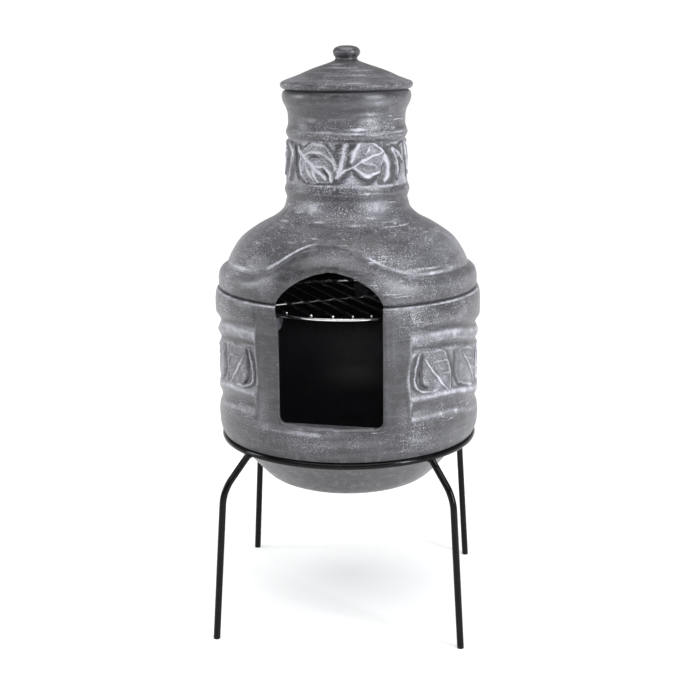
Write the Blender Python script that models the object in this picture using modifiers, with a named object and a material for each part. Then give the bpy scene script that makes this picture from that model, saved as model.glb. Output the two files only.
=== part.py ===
"""Clay chiminea: a lidded chimney and dome over an open-fronted fire bowl, with a
wire grill inside, standing in a four-legged ring of bent rod.

Metres. The origin is on the ground on the body's vertical axis. +Z is up and the
doorway faces -Y. Turned clay pieces are profiles revolved about the Z axis.
"""

import math

import bmesh
import bpy
from mathutils import Matrix, Vector

# Heights of the joints between the stacked pieces.
BOWL_TOP = 0.4900
CHIMNEY_TOP = 0.7720
LID_TOP = 0.8320
GAP = 0.0003  # left between pieces that rest on each other

# Clay.
BODY_STEPS = 48  # flats round the bowl and the dome
LID_STEPS = 36
RIM_RADIUS = 0.1946
BELT_RADIUS = 0.1890
SHOULDER_RADIUS = 0.1750
NECK_RADIUS = 0.0838
FLUE_RADIUS = 0.0675
FIREBOX_RADIUS = 0.1725
FIREBOX_FLOOR = 0.2215
BOWL_BOTTOM = 0.1993
REGISTER_RADIUS = 0.1690  # outside of the lip under the dome that centres it in the bowl
REGISTER_WIDTH = 0.0060
REGISTER_DEPTH = 0.0080
LID_RADIUS = 0.0949
SPIGOT_DEPTH = 0.0080  # of the ring under the lid that centres it in the flue

# Doorway: straight jambs in the bowl, an arch in the dome.
DOOR_HALF_WIDTH = 0.0720
DOOR_SILL = 0.3265
DOOR_CORNER = 0.0090
ARCH_TOP = 0.5375
ARCH_ROUNDNESS = 1.65  # 2 is a half ellipse, less is more pointed
HOOD_TOP = 0.5690  # the belt's upper edge, where it rises over the arch
HOOD_FOOT = 0.5210
HOOD_HALF_WIDTH = 0.0830
HOOD_FLATNESS = 3.2
HOOD_STEPS = 20

# Stand: one rod size for the ring and the legs.
ROD_RADIUS = 0.0052
RING_RADIUS = 0.1845
RING_HEIGHT = 0.2685
RING_STEPS = 48
RING_SIDES = 10
STAND_TURN = math.radians(2.0)  # how far the stand is turned under the body
LEG_TOP = (0.1835, 0.2655)  # radius and height of the leg's welded end
LEG_SLOPE = math.radians(45.0)  # of the upper stretch, from the vertical
LEG_SPLAY = math.radians(4.86)  # of the lower stretch, from the vertical
LEG_FOOT_RADIUS = 0.2480
LEG_BEND_RADIUS = 0.0550
LEG_BEND_STEPS = 7
LEG_EXCESS = 0.010  # how far a leg runs below the ground before it is cut level
GROUND_WIDTH = 0.8
GROUND_DEPTH = 0.05

# Grill.
GRILL_HEIGHT = 0.4670
GRILL_RADIUS = 0.1480
GRILL_RING_ROD = 0.0025
GRILL_RING_SIDES = 8
GRILL_WIRE_ROD = 0.0020
GRILL_WIRES = 11
GRILL_PITCH = 0.0250
GRILL_TURN = math.radians(30.0)
LUG_REACH = 0.1310  # radius that the lugs under the grill reach in to
LUG_WIDTH = 0.0200
LUG_DROP = 0.0340
LUG_TIP = 0.0050
LUG_ANGLES = (-35.0, 35.0, 180.0)  # degrees round from the doorway

model = bpy.data.collections.new("chiminea")
cutters = bpy.data.collections.new("chiminea_cutters")


def clear_scene():
    for old in list(bpy.data.objects):
        bpy.data.objects.remove(old, do_unlink=True)
    bpy.context.scene.collection.children.link(model)
    bpy.context.scene.collection.children.link(cutters)


def make_material(name, colour, roughness, metallic=0.0):
    material = bpy.data.materials.new(name)
    material.use_nodes = True
    shader = material.node_tree.nodes["Principled BSDF"]
    shader.inputs["Base Color"].default_value = (*colour, 1.0)
    shader.inputs["Roughness"].default_value = roughness
    shader.inputs["Metallic"].default_value = metallic
    return material


def add_object(name, data, material=None):
    made = bpy.data.objects.new(name, data)
    if material is None:
        made.hide_render = True
        made.display_type = "WIRE"
        cutters.objects.link(made)
    else:
        data.materials.append(material)
        model.objects.link(made)
    return made


def arc(centre, radius, start, end, steps):
    """Points round part of a circle, from start to end in degrees."""
    points = []
    for i in range(steps + 1):
        angle = math.radians(start + (end - start) * i / steps)
        points.append((centre[0] + radius * math.cos(angle), centre[1] + radius * math.sin(angle)))
    return points


def smooth(points, steps):
    """A Catmull-Rom curve through the points, with the given steps on each span."""
    path = [Vector(p) for p in points]
    path = [2 * path[0] - path[1], *path, 2 * path[-1] - path[-2]]
    curve = []
    for a, b, c, d in zip(path, path[1:], path[2:], path[3:]):
        for i in range(steps):
            t = i / steps
            curve.append(0.5 * (2 * b + (c - a) * t + (2 * a - 5 * b + 4 * c - d) * t * t
                                + (3 * b - 3 * c + d - a) * t ** 3))
    curve.append(path[-2])
    return [tuple(p) for p in curve]


def bead(height, groove, crest, half_height):
    """A rounded ring on a turned wall: groove, crest, groove, from the top down."""
    points = []
    for t in (-1.0, -0.5, 0.0, 0.5, 1.0):
        rise = math.cos(t * math.pi / 2) ** 0.8
        points.append((groove + (crest - groove) * rise, height - t * half_height))
    return points


def turned(name, profile, steps, closed, material=None):
    """Revolves an (r, z) profile that runs down its outer side."""
    mesh = bpy.data.meshes.new(name)
    count = len(profile)
    edges = [(i, i + 1) for i in range(count - 1)]
    if closed:
        edges.append((count - 1, 0))
    mesh.from_pydata([(r, 0.0, z) for r, z in profile], edges, [])
    made = add_object(name, mesh, material)
    screw = made.modifiers.new("Turn", "SCREW")
    screw.steps = steps
    screw.render_steps = steps
    screw.use_merge_vertices = True
    screw.merge_threshold = 0.00001
    screw.use_smooth_shade = True
    return made


def combine(target, other, operation):
    boolean = target.modifiers.new(operation.title(), "BOOLEAN")
    boolean.operation = operation
    boolean.object = other
    boolean.solver = "EXACT"


def curve_to_mesh(source, name, material=None):
    """Replaces a curve object by a closed mesh object of the same shape and place."""
    bpy.context.view_layer.update()
    evaluated = source.evaluated_get(bpy.context.evaluated_depsgraph_get())
    mesh = bpy.data.meshes.new_from_object(evaluated)
    mesh.name = name
    shape = bmesh.new()
    shape.from_mesh(mesh)
    bmesh.ops.remove_doubles(shape, verts=shape.verts, dist=0.00001)
    bmesh.ops.recalc_face_normals(shape, faces=shape.faces)
    shape.to_mesh(mesh)
    shape.free()
    matrix = source.matrix_world.copy()
    bpy.data.objects.remove(source, do_unlink=True)
    made = add_object(name, mesh, material)
    made.matrix_world = matrix
    return made


def outline_solid(name, outline, near, far):
    """A closed (x, z) outline made solid from y = near to y = far."""
    curve = bpy.data.curves.new(name, "CURVE")
    curve.dimensions = "2D"
    curve.fill_mode = "BOTH"
    curve.extrude = (far - near) / 2
    spline = curve.splines.new("POLY")
    spline.points.add(len(outline) - 1)
    spline.use_cyclic_u = True
    for point, (x, z) in zip(spline.points, outline):
        point.co = (x, z, 0.0, 1.0)
    source = add_object(name + "_outline", curve)
    source.rotation_euler = (math.pi / 2, 0.0, 0.0)
    source.location = (0.0, (near + far) / 2, 0.0)
    return curve_to_mesh(source, name)


def rod_curve(name, points, radius, resolution):
    """A bent rod as a curve object with closed ends."""
    curve = bpy.data.curves.new(name, "CURVE")
    curve.dimensions = "3D"
    curve.bevel_depth = radius
    curve.bevel_resolution = resolution
    curve.use_fill_caps = True
    spline = curve.splines.new("POLY")
    spline.points.add(len(points) - 1)
    spline.use_smooth = True
    for point, place in zip(spline.points, points):
        point.co = (*place, 1.0)
    return curve


def torus(name, ring_radius, rod_radius, height, steps, sides, material=None):
    bpy.ops.mesh.primitive_torus_add(major_radius=ring_radius, minor_radius=rod_radius,
                                     major_segments=steps, minor_segments=sides)
    made = bpy.context.object
    mesh = made.data
    bpy.data.objects.remove(made, do_unlink=True)
    mesh.name = name
    mesh.shade_smooth()
    made = add_object(name, mesh, material)
    made.location = (0.0, 0.0, height)
    return made


# Cutters and guides.

def doorway_outline():
    x = DOOR_HALF_WIDTH
    inner = x - DOOR_CORNER
    low = DOOR_SILL + DOOR_CORNER
    outline = arc((-inner, low), DOOR_CORNER, 180, 270, 4)
    outline += arc((inner, low), DOOR_CORNER, 270, 360, 4)
    arch_steps = 14
    for i in range(arch_steps + 1):
        angle = math.pi * i / arch_steps
        across = abs(math.cos(angle)) ** (2 / ARCH_ROUNDNESS)
        rise = math.sin(angle) ** (2 / ARCH_ROUNDNESS)
        side = math.copysign(1.0, math.cos(angle))
        outline.append((side * x * across, BOWL_TOP + (ARCH_TOP - BOWL_TOP) * rise))
    return outline


def hood_outline():
    """Bell shape that the raised belt follows over the arch, seen from the front."""
    half = 0.150
    outline = []
    for i in range(HOOD_STEPS + 1):
        x = half - 2 * half * i / HOOD_STEPS
        bell = math.exp(-abs(x / HOOD_HALF_WIDTH) ** HOOD_FLATNESS)
        outline.append((x, HOOD_FOOT + (HOOD_TOP - HOOD_FOOT) * bell))
    return [(-half, BOWL_TOP - 0.02), (half, BOWL_TOP - 0.02), *outline]


def make_doorway_cutter():
    return outline_solid("doorway_cutter", doorway_outline(), -0.30, -0.02)


def make_hood():
    """The raised moulding over the arch: a thicker dome wall inside a bell outline."""
    outer = smooth([(0.1400, 0.5780), (0.1550, 0.5690), (0.1690, 0.5590), (0.1790, 0.5460),
                    (0.1850, 0.5310), (0.1872, 0.5150), (0.1830, 0.5000)], 2)
    inner = [(0.1740, 0.5000), (0.1700, 0.5200), (0.1620, 0.5360), (0.1480, 0.5510), (0.1290, 0.5640)]
    hood = turned("hood", outer + inner, BODY_STEPS, closed=True)
    bell = outline_solid("hood_outline", hood_outline(), -0.30, -0.05)
    combine(hood, bell, "INTERSECT")
    return hood


def make_lugs():
    """Corbels inside the bowl that the grill's ring rests on."""
    top = GRILL_HEIGHT - GRILL_RING_ROD - GAP
    root = FIREBOX_RADIUS + 0.008
    outline = [(LUG_REACH, top), (LUG_REACH, top - LUG_TIP), (root, top - LUG_DROP), (root, top)]
    lugs = []
    for index, degrees in enumerate(LUG_ANGLES):
        lug = outline_solid(f"lug_{index + 1}", outline, -LUG_WIDTH / 2, LUG_WIDTH / 2)
        lug.data.transform(lug.matrix_world)
        lug.matrix_world = Matrix.Rotation(math.radians(degrees - 90.0), 4, "Z")
        lugs.append(lug)
    return lugs


# Clay pieces.

def make_bowl(material, lugs, doorway):
    rim = [(0.1892, BOWL_TOP), (0.1922, 0.4868), (0.1938, 0.4800), (RIM_RADIUS, 0.4680),
           (0.1944, 0.4520), (0.1912, 0.4440)]
    bands = bead(0.4230, 0.1875, 0.1917, 0.0125)
    bands += [(0.1893, 0.4030), (0.1898, 0.3780), (0.1888, 0.3540)]
    bands += bead(0.3385, 0.1885, 0.1923, 0.0125)
    belly = [(0.1908, 0.3160), (0.1928, 0.3030), (0.1922, 0.2890), (0.1900, 0.2790)]
    seat = RING_HEIGHT + ROD_RADIUS + GAP
    underside = [(0.1870, seat), (0.1790, seat)]
    underside += smooth([(0.1780, 0.2680), (0.1580, 0.2475), (0.1390, 0.2260), (0.1240, 0.2105),
                         (0.1110, 0.2030), (0.0950, BOWL_BOTTOM)], 2)
    inside = [(0.0, FIREBOX_FLOOR), (0.0880, FIREBOX_FLOOR), (0.1080, 0.2275), (0.1260, 0.2450),
              (0.1450, 0.2650), (0.1620, 0.2860), (0.1705, 0.3100), (FIREBOX_RADIUS, 0.3350),
              (FIREBOX_RADIUS, BOWL_TOP)]
    profile = inside + rim + bands + belly + underside + [(0.0, BOWL_BOTTOM)]
    bowl = turned("fire_bowl", profile, BODY_STEPS, closed=False, material=material)
    for lug in lugs:
        combine(bowl, lug, "UNION")
    combine(bowl, doorway, "DIFFERENCE")


def make_dome(material, hood, doorway):
    foot = BOWL_TOP + GAP
    lip = [(0.0888, CHIMNEY_TOP), (0.0915, 0.7690), (0.0924, 0.7630), (0.0905, 0.7540), (0.0860, 0.7450)]
    neck = [(NECK_RADIUS, 0.7360), (NECK_RADIUS, 0.7250)]
    neck += bead(0.7120, 0.0832, 0.0872, 0.0110)
    neck += [(0.0850, 0.6940), (0.0858, 0.6700), (0.0866, 0.6450)]
    neck += bead(0.6310, 0.0872, 0.0902, 0.0090)
    shoulder = smooth([(0.0886, 0.6140), (0.0950, 0.6020), (0.1110, 0.5900), (0.1314, 0.5780),
                       (0.1537, 0.5610), (0.1672, 0.5430), (SHOULDER_RADIUS, 0.5250)], 2)
    belt = [(0.1800, 0.5218), (0.1855, 0.5175), (0.1880, 0.5125), (BELT_RADIUS, 0.5060), (BELT_RADIUS, foot)]
    register_inside = REGISTER_RADIUS - REGISTER_WIDTH
    register = [(REGISTER_RADIUS, foot), (REGISTER_RADIUS, foot - REGISTER_DEPTH),
                (register_inside, foot - REGISTER_DEPTH), (register_inside, foot)]
    flue = [(0.1680, 0.5010), (0.1670, 0.5130), (0.1570, 0.5330), (0.1405, 0.5500), (0.1140, 0.5670),
            (0.0870, 0.5790), (0.0715, 0.5920), (FLUE_RADIUS, 0.6080), (FLUE_RADIUS, 0.7650),
            (0.0700, CHIMNEY_TOP)]
    profile = lip + neck + shoulder + belt + register + flue
    dome = turned("chimney_dome", profile, BODY_STEPS, closed=True, material=material)
    combine(dome, hood, "UNION")
    combine(dome, doorway, "DIFFERENCE")


def make_lid(material):
    foot = CHIMNEY_TOP + GAP
    knob = arc((0.0110, 0.8232), 0.0083, 90, -60, 6)
    knob = [(0.0, LID_TOP), (0.0060, LID_TOP - 0.0002), *knob]
    cone = smooth([(0.0156, 0.8140), (0.0180, 0.8112), (0.0312, 0.8062), (0.0520, 0.8000),
                   (0.0773, 0.7896), (0.0916, 0.7840)], 2)
    edge = [(0.0945, 0.7812), (LID_RADIUS, 0.7780), (0.0935, 0.7745), (0.0905, foot)]
    spigot = [(0.0630, foot), (0.0620, foot - SPIGOT_DEPTH), (0.0560, foot - SPIGOT_DEPTH),
              (0.0540, foot + 0.0040)]
    hollow = [(0.0300, 0.7870), (0.0, 0.7930)]
    turned("lid", knob + cone + edge + spigot + hollow, LID_STEPS, closed=False, material=material)


# Stand.

def leg_path():
    """The leg's centre line as (radius, height), from its weld down past the ground."""
    top = Vector(LEG_TOP)
    upper = Vector((math.sin(LEG_SLOPE), -math.cos(LEG_SLOPE)))
    lower = Vector((math.sin(LEG_SPLAY), -math.cos(LEG_SPLAY)))
    foot = Vector((LEG_FOOT_RADIUS, 0.0))
    # The two straights meet at the corner: top + s * upper = foot - t * lower.
    cross = upper.x * lower.y - upper.y * lower.x
    reach = ((foot - top).x * lower.y - (foot - top).y * lower.x) / cross
    corner = top + reach * upper
    turn = LEG_SLOPE - LEG_SPLAY
    trim = LEG_BEND_RADIUS * math.tan(turn / 2)
    start = corner - trim * upper
    centre = start + LEG_BEND_RADIUS * Vector((upper.y, -upper.x))
    arm = start - centre
    points = [top]
    for i in range(LEG_BEND_STEPS + 1):
        points.append(centre + Matrix.Rotation(-turn * i / LEG_BEND_STEPS, 2) @ arm)
    points.append(foot + LEG_EXCESS * lower)
    return points


def make_stand(material):
    torus("stand_ring", RING_RADIUS, ROD_RADIUS, RING_HEIGHT, RING_STEPS, RING_SIDES, material)
    clearance = torus("ring_clearance", RING_RADIUS, ROD_RADIUS + GAP, RING_HEIGHT, RING_STEPS, RING_SIDES)
    bpy.ops.mesh.primitive_cube_add(size=1.0)
    cube = bpy.context.object
    mesh = cube.data
    bpy.data.objects.remove(cube, do_unlink=True)
    mesh.transform(Matrix.Diagonal((GROUND_WIDTH, GROUND_WIDTH, GROUND_DEPTH, 1.0)))
    ground = add_object("ground_cutter", mesh)
    ground.location = (0.0, 0.0, -GROUND_DEPTH / 2)
    path = [(radius, 0.0, height) for radius, height in leg_path()]
    places = {"leg_front_left": -135, "leg_front_right": -45, "leg_back_right": 45, "leg_back_left": 135}
    for name, degrees in places.items():
        source = add_object(name + "_path", rod_curve(name + "_path", path, ROD_RADIUS, 3))
        leg = curve_to_mesh(source, name, material)
        leg.rotation_euler.z = math.radians(degrees) + STAND_TURN
        combine(leg, clearance, "DIFFERENCE")
        combine(leg, ground, "DIFFERENCE")


# Grill.

def make_grill(material):
    torus("grill_ring", GRILL_RADIUS, GRILL_RING_ROD, GRILL_HEIGHT, RING_STEPS, GRILL_RING_SIDES, material)
    wire_height = GRILL_HEIGHT + GRILL_RING_ROD + GAP + GRILL_WIRE_ROD
    for index in range(GRILL_WIRES):
        offset = (index - (GRILL_WIRES - 1) / 2) * GRILL_PITCH
        half = math.sqrt(GRILL_RADIUS ** 2 - offset ** 2) + 0.001
        curve = rod_curve(f"grill_wire_{index + 1:02d}", [(offset, -half, 0.0), (offset, half, 0.0)],
                          GRILL_WIRE_ROD, 2)
        wire = add_object(curve.name, curve, material)
        wire.location.z = wire_height
        wire.rotation_euler.z = GRILL_TURN
    half = GRILL_RADIUS - GRILL_RING_ROD - 2 * GAP
    curve = rod_curve("grill_crossbar", [(-half, 0.0, 0.0), (half, 0.0, 0.0)], GRILL_WIRE_ROD, 2)
    crossbar = add_object(curve.name, curve, material)
    crossbar.location.z = wire_height - 2 * GRILL_WIRE_ROD - GAP
    crossbar.rotation_euler.z = GRILL_TURN


clear_scene()
clay = make_material("clay", (0.17, 0.17, 0.19), 0.85)
black_steel = make_material("black_steel", (0.02, 0.02, 0.022), 0.35)
chrome = make_material("chrome", (0.8, 0.8, 0.8), 0.15, 1.0)
doorway_cutter = make_doorway_cutter()
make_bowl(clay, make_lugs(), doorway_cutter)
make_dome(clay, make_hood(), doorway_cutter)
make_lid(clay)
make_stand(black_steel)
make_grill(chrome)
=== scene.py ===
"""Looks of the clay chiminea: fine clay surfaces with their relief and limewash,
smooth painted rods, a chromed grill, and a plain studio round them.

Angles called azimuth are measured round the body from the doorway (-Y) towards +X.
"""

import functools
import math

import bmesh
import bpy
import numpy as np
from mathutils import Matrix, Vector, noise
from mathutils.kdtree import KDTree


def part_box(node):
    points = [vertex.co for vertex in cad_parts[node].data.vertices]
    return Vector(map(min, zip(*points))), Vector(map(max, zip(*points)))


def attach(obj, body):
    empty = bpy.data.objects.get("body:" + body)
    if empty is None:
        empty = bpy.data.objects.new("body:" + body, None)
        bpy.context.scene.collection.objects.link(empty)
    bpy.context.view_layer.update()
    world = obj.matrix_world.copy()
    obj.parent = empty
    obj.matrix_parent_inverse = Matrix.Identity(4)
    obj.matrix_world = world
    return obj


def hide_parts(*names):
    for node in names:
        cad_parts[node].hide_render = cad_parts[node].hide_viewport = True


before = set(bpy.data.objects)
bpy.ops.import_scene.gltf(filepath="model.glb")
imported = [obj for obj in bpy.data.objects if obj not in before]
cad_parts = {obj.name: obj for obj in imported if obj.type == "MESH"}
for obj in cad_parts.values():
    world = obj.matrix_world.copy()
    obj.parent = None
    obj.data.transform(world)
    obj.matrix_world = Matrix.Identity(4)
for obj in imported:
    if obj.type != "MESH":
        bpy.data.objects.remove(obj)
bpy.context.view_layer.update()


# Heights and radii that the frame sets.
BOWL_LOW, BOWL_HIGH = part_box("fire_bowl")
DOME_LOW, DOME_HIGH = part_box("chimney_dome")
LID_LOW, LID_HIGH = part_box("lid")
RING_LOW, RING_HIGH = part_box("stand_ring")
GRILL_LOW, GRILL_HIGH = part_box("grill_ring")
BOWL_TOP = BOWL_HIGH.z
BOWL_BOTTOM = BOWL_LOW.z
RIM = BOWL_HIGH.x
CHIMNEY_TOP = DOME_HIGH.z
BELT = DOME_HIGH.x
LID_TOP = LID_HIGH.z
GAP = 0.0003
DOME_FOOT = BOWL_TOP + GAP

# Doorway.
DOOR_HALF_WIDTH = 0.072
DOOR_SILL = 0.3265
DOOR_CORNER = 0.009
ARCH_TOP = 0.5375
ARCH_ROUNDNESS = 1.65
JAMB_SPREAD = 0.0042  # how far the clay was pulled out of line at the left jamb's head
JAMB_SPREAD_HEIGHT = 0.486
DOOR_FACE_RADIUS = 0.186  # of the wall round the doorway
DOOR_CUT_DEPTH = 0.012
DOOR_SPLAY = 0.004  # how much each jamb is cut back behind its front edge
SILL_FALL = 0.0055
SILL_TILT = 0.0036  # the sill is cut this much lower at its right end

# Firebox and the lugs that the grill rests on.
FIREBOX_RADIUS = 0.1725
FIREBOX_FLOOR = 0.2215
LUG_TOP = GRILL_LOW.z - GAP
LUG_REACH = 0.131
LUG_WIDTH = 0.02
LUG_DROP = 0.034
LUG_TIP = 0.005
LUG_ANGLES = (-35.0, 35.0, 180.0)
LUG_SOOT = 0.42

# Heights between which the upper firebox wall is darkened further, with char and painted shade, and how
# much is added to its soot there.
CHAR_LOW = 0.345
CHAR_FULL = 0.43
CHAR_TOP = 0.476
CHAR_AND_SHADE = 0.5

PLAIN_SPECKLE = 0.45
UNEVENNESS = 0.0005  # of hand-pressed walls, in metres


def smoothstep(low, high, value):
    t = np.clip((value - low) / (high - low), 0.0, 1.0)
    return t * t * (3.0 - 2.0 * t)


def between(low, low_full, high_full, high, value):
    """1 from low_full to high_full, fading to 0 at low and at high."""
    return smoothstep(low, low_full, value) * (1.0 - smoothstep(high_full, high, value))


def ridge(distance, width):
    return np.exp(-(distance / width) ** 2)


def most(*fields):
    """The largest of the fields at each point."""
    return functools.reduce(np.maximum, fields)


def bands(level, places):
    """The strongest of soft level bands, given as (height, half height, weight)."""
    return most(*(weight * ridge(level - height, half) for height, half, weight in places))


def patches(azimuth, z, places):
    """The weight that each soft patch has at each point."""
    for centre, height, half_turn, half_height, weight in places:
        turn = (np.degrees(azimuth) - centre + 180.0) % 360.0 - 180.0
        yield weight * ridge(turn, half_turn) * ridge(z - 0.001 * height, 0.001 * half_height)


# The strongest patch at each point: brushed limewash, and painted highlights where the list holds them.
def wash_and_highlight_patches(azimuth, z, rubs):
    return most(np.zeros(azimuth.shape), *patches(azimuth, z, rubs))


def speckled(azimuth, z, places):
    return PLAIN_SPECKLE + sum(patches(azimuth, z, places))


def catmull(points, step=None, count=None):
    """A Catmull-Rom curve through the points, in steps of about step metres or count to a span."""
    p = np.array(points, float)
    p = np.vstack([2 * p[0] - p[1], p, 2 * p[-1] - p[-2]])
    curve = []
    for a, b, c, d in zip(p, p[1:], p[2:], p[3:]):
        steps = count or max(1, round(np.hypot(*(c - b)) / step))
        t = (np.arange(steps) / steps)[:, None]
        curve.append(0.5 * (2 * b + (c - a) * t + (2 * a - 5 * b + 4 * c - d) * t ** 2
                            + (3 * b - 3 * c + d - a) * t ** 3))
    return np.vstack(curve + [p[-2:-1]])


def ladder(*spans):
    """Values from (first, last, step) spans that follow each other."""
    values = []
    for first, last, step in spans:
        count = max(1, round(abs(last - first) / step))
        values += [first + (last - first) * i / count for i in range(count)]
    return np.array(values + [spans[-1][1]])


def azimuths(*spans):
    """Column angles in radians, from spans in degrees that lie on both sides of the doorway."""
    left = [(-stop, -start, step) for start, stop, step in reversed(spans)]
    return np.radians(ladder(*left, *spans)[:-1])


def wobble(azimuth, z, seed):
    """Slow unevenness of hand-pressed clay, between about -1 and 1."""
    total = 0.0
    for turn, lift, weight in ((2, 9, 0.35), (3, 23, 0.3), (5, 41, 0.2), (8, 67, 0.15)):
        phase = seed * (turn + 1.7)
        total = total + weight * np.sin(turn * azimuth + phase) * np.cos(lift * z + 1.3 * phase)
    return total


def place(radius, azimuth, z):
    radius, azimuth, z = np.broadcast_arrays(radius, azimuth, z)
    return np.stack([radius * np.sin(azimuth), -radius * np.cos(azimuth), z], axis=-1)


def rings(profile, azimuth):
    """Plain rows of revolution through (radius, height) points."""
    radius, z = np.array(profile).T[:, :, None]
    return place(radius, azimuth, z)


def add_object(name, data):
    made = bpy.data.objects.new(name, data)
    bpy.context.scene.collection.objects.link(made)
    return made


def skin(name, grid, closed_rows=False, poles=()):
    """An object from a grid of points whose rows run once round, drawn to two poles at its ends."""
    rows, columns = grid.shape[:2]
    index = np.arange(rows * columns).reshape(rows, columns)
    below, right = np.roll(index, -1, axis=0), np.roll(index, -1, axis=1)
    quads = np.stack([index, below, np.roll(below, -1, axis=1), right], axis=-1)
    faces = quads[:rows if closed_rows else rows - 1].reshape(-1, 4).tolist()
    points = grid.reshape(-1, 3).tolist() + [tuple(pole) for pole in poles]
    if len(poles):
        first, second = rows * columns, rows * columns + 1
        faces += [(first, a, b) for a, b in zip(index[0].tolist(), right[0].tolist())]
        faces += [(a, second, b) for a, b in zip(index[-1].tolist(), right[-1].tolist())]
    mesh = bpy.data.meshes.new(name)
    mesh.from_pydata(points, [], faces)
    shape = bmesh.new()
    shape.from_mesh(mesh)
    bmesh.ops.recalc_face_normals(shape, faces=shape.faces)
    return shape_object(name, shape, mesh)


def shape_object(name, shape, mesh=None):
    mesh = mesh or bpy.data.meshes.new(name)
    shape.to_mesh(mesh)
    shape.free()
    return add_object(name, mesh)


def smooth(made):
    made.data.shade_smooth()
    made.data.set_sharp_from_angle(angle=math.radians(50))
    return made


def carve(source, name, cutters=(), joins=()):
    """The source joined and cut, as a new object in the place of all that went into it."""
    for operation, others in (("UNION", joins), ("DIFFERENCE", cutters)):
        for other in others:
            boolean = source.modifiers.new("Carve", "BOOLEAN")
            boolean.operation = operation
            boolean.solver = "MANIFOLD"
            boolean.object = other
    bpy.context.view_layer.update()
    evaluated = source.evaluated_get(bpy.context.evaluated_depsgraph_get())
    mesh = bpy.data.meshes.new_from_object(evaluated)
    for used in (source, *cutters, *joins):
        bpy.data.objects.remove(used, do_unlink=True)
    mesh.name = name
    return smooth(add_object(name, mesh))


def write_attribute(mesh, name, values, limit=1.0):
    attribute = mesh.attributes.new(name, "FLOAT", "POINT")
    attribute.data.foreach_set("value", np.clip(values, 0.0, limit).astype(np.float32))


def finish_clay(name, parts, cutters=(), joins=(), **ends):
    """A clay piece from parts of (rows, whitewash and painted highlights, bare clay and painted shade,
    specks, 1 where outside), which are carried over to the points that the piece has once it is cut, and
    the soot on the inside, darker still on the upper wall with char and painted shade."""
    grid = np.concatenate([part[0] for part in parts])
    paint, bare_and_shade, speckle, outside = (
        np.concatenate([np.broadcast_to(part[i], part[0].shape[:2]).reshape(-1) for part in parts])
        for i in range(1, 5))
    made = carve(skin(name + "_source", grid, **ends), name, cutters, joins)
    points = np.array([tuple(vert.co) for vert in made.data.vertices])
    corners = grid.reshape(-1, 3)
    tree = KDTree(len(corners))
    for index, corner in enumerate(corners):
        tree.insert(corner, index)
    tree.balance()
    found = [tree.find(point) for point in points]
    nearest = np.array([index for _, index, _ in found])
    distance = np.array([gap for _, _, gap in found])
    outer = outside[nearest] * (1.0 - smoothstep(0.002, 0.0045, distance))
    reach, z = np.hypot(points[:, 0], points[:, 1]), points[:, 2]
    soot_and_shade = 1.0 - outer
    # Char and painted shade make the upper firebox wall darker still.
    char_and_shade_band = between(CHAR_LOW, CHAR_FULL, CHAR_TOP, BOWL_TOP, z)
    soot_and_shade = soot_and_shade + CHAR_AND_SHADE * char_and_shade_band * smoothstep(0.9, 1.0, soot_and_shade)
    on_lug = (reach < FIREBOX_RADIUS - 0.0006) & (z > LUG_TOP - LUG_DROP) & (z < LUG_TOP + 0.0005)
    write_attribute(made.data, "paint", paint[nearest] * outer)
    write_attribute(made.data, "bare_and_shade", bare_and_shade[nearest] * outer)
    write_attribute(made.data, "speckle", speckle[nearest])
    write_attribute(made.data, "soot_and_shade", np.where(on_lug, LUG_SOOT, soot_and_shade), 1.0 + CHAR_AND_SHADE)
    return made


# Doorway outline and what it does to the clay.

def doorway_outline():
    x = DOOR_HALF_WIDTH
    low = DOOR_SILL + DOOR_CORNER
    outline = []
    for centre, start in ((-x + DOOR_CORNER, 180), (x - DOOR_CORNER, 270)):
        for angle in np.radians(np.linspace(start, start + 90, 9)):
            outline.append((centre + DOOR_CORNER * math.cos(angle), low + DOOR_CORNER * math.sin(angle)))
    for angle in np.linspace(0.0, math.pi, 41):
        across = math.copysign(abs(math.cos(angle)) ** (2 / ARCH_ROUNDNESS), math.cos(angle))
        rise = math.sin(angle) ** (2 / ARCH_ROUNDNESS)
        outline.append((x * across, BOWL_TOP + (ARCH_TOP - BOWL_TOP) * rise))
    outline += [(-x, BOWL_TOP + (low - BOWL_TOP) * i / 16) for i in range(1, 16)]
    outline = np.array(outline)
    spread = JAMB_SPREAD * ridge(outline[:, 1] - JAMB_SPREAD_HEIGHT, 0.024)
    outline[:, 0] += spread * np.minimum(outline[:, 0] / x, 0.0)
    foot = 1.0 - smoothstep(low, low + 0.05, outline[:, 1])
    outline[:, 1] -= SILL_TILT * foot * smoothstep(-1.0, 0.6, outline[:, 0] / x)
    return outline


DOORWAY = doorway_outline()


def doorway_rounding(azimuth, radius, z, width, depth):
    """How far the outer surface turns in where it reaches the doorway's edge."""
    front = np.abs(azimuth) < math.radians(60)
    drop = np.zeros(azimuth.shape)
    x = radius * np.sin(azimuth)
    width, depth = (np.broadcast_to(value, azimuth.shape)[front] for value in (width, depth))
    t = np.clip(-signed_depth(DOORWAY, x[front], z[front]) / width, 0.0, 1.0)
    drop[front] = depth * (1.0 - np.sqrt(np.clip(1.0 - (1.0 - t) ** 2, 0.0, 1.0)))
    return drop


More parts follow.
